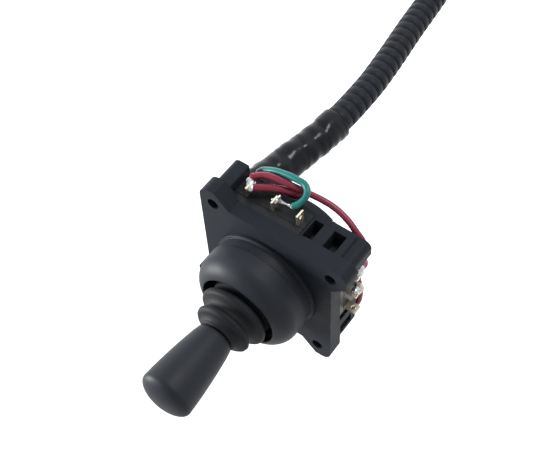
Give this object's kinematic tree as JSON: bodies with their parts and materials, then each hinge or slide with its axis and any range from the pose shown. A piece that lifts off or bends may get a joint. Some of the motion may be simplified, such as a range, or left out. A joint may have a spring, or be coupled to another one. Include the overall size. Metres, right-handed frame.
{
  "type": "industrial joystick",
  "caption": "Panel-mount microswitch joystick with two-axis gimbal, rubber boot, tapered knob and a taped and corrugated wiring harness.",
  "frame": {"origin": "middle of the flange's front face, on the lever's axis at rest", "axes": "+Z along the lever out of the panel towards the knob, +Y towards the switch that takes the feed wire, +X towards the next switch on"},
  "size_m": [0.1, 0.0605, 0.2982],
  "materials": {
    "housing_plastic": "satin",
    "bezel_plastic": "satin",
    "switch_plastic": "satin",
    "plunger_plastic": "satin",
    "knob_plastic": "satin",
    "boot_rubber": "matte",
    "acetal": "satin",
    "steel": "satin",
    "plated_steel": "polished",
    "spring_steel": "satin",
    "brass": "machined",
    "tinned_brass": "tinned",
    "solder": "bright",
    "red_insulation": "gloss",
    "green_insulation": "gloss",
    "white_insulation": "gloss",
    "blue_insulation": "gloss",
    "yellow_insulation": "gloss",
    "tape_pvc": "gloss",
    "conduit_nylon": "satin",
    "connector_plastic": "satin"
  },
  "bodies": {
    "housing": {"housing": "housing_plastic", "rear_plate": "housing_plastic", "rear_screws": "plated_steel", "bezel": "bezel_plastic", "boot": "boot_rubber", "boot_clamp_ring": "housing_plastic", "return_spring": "spring_steel", "switch_case_1": "switch_plastic", "switch_case_2": "switch_plastic", "switch_case_3": "switch_plastic", "switch_case_4": "switch_plastic", "switch_terminals_1": "tinned_brass", "switch_terminals_2": "tinned_brass", "switch_terminals_3": "tinned_brass", "switch_terminals_4": "tinned_brass", "solder_1": "solder", "solder_2": "solder", "solder_3": "solder", "solder_4": "solder", "red_feed_wire": "red_insulation", "red_link_wire_12": "red_insulation", "red_link_wire_23": "red_insulation", "red_link_wire_34": "red_insulation", "green_wire": "green_insulation", "white_wire": "white_insulation", "blue_wire": "blue_insulation", "yellow_wire": "yellow_insulation", "harness_tape": "tape_pvc", "conduit": "conduit_nylon", "conduit_coil": "conduit_nylon", "coil_tie": "tape_pvc", "conduit_tail": "conduit_nylon", "connector": "connector_plastic", "connector_lock": "connector_plastic"},
    "gimbal": {"gimbal_ring": "steel", "ring_pins": "steel", "hub_pin": "steel"},
    "lever": {"lever_hub": "steel", "lever_shaft": "steel", "actuator": "acetal", "shaft_clip": "steel", "knob": "knob_plastic", "knob_insert": "brass"},
    "plunger_1": {"switch_plunger_1": "plunger_plastic"},
    "plunger_2": {"switch_plunger_2": "plunger_plastic"},
    "plunger_3": {"switch_plunger_3": "plunger_plastic"},
    "plunger_4": {"switch_plunger_4": "plunger_plastic"}
  },
  "joints": [
    {"name": "tilt_x", "type": "hinge", "parent": "housing", "child": "gimbal", "pos_m": [0, 0, -0.0021], "axis": [1, 0, 0], "range_deg": [-15, 15], "stiffness_Nm_per_rad": 0.8, "deforming": ["boot", "return_spring"]},
    {"name": "tilt_y", "type": "hinge", "parent": "gimbal", "child": "lever", "pos_m": [0, 0, -0.0021], "axis": [0, 1, 0], "range_deg": [-15, 15], "stiffness_Nm_per_rad": 0.8, "deforming": ["boot", "return_spring"]},
    {"name": "plunger_1_slide", "type": "slide", "parent": "housing", "child": "plunger_1", "axis": [0, 1, 0], "range_m": [-0.0009, 0.0009]},
    {"name": "plunger_2_slide", "type": "slide", "parent": "housing", "child": "plunger_2", "axis": [-1, 0, 0], "range_m": [-0.0009, 0.0009]},
    {"name": "plunger_3_slide", "type": "slide", "parent": "housing", "child": "plunger_3", "axis": [0, 1, 0], "range_m": [-0.0009, 0.0009]},
    {"name": "plunger_4_slide", "type": "slide", "parent": "housing", "child": "plunger_4", "axis": [-1, 0, 0], "range_m": [-0.0009, 0.0009]}
  ],
  "couplings": [
    {"joint": "plunger_1_slide", "follows": "tilt_x", "m_per_rad": 0.0034},
    {"joint": "plunger_3_slide", "follows": "tilt_x", "m_per_rad": 0.0034},
    {"joint": "plunger_2_slide", "follows": "tilt_y", "m_per_rad": 0.0034},
    {"joint": "plunger_4_slide", "follows": "tilt_y", "m_per_rad": 0.0034}
  ]
}
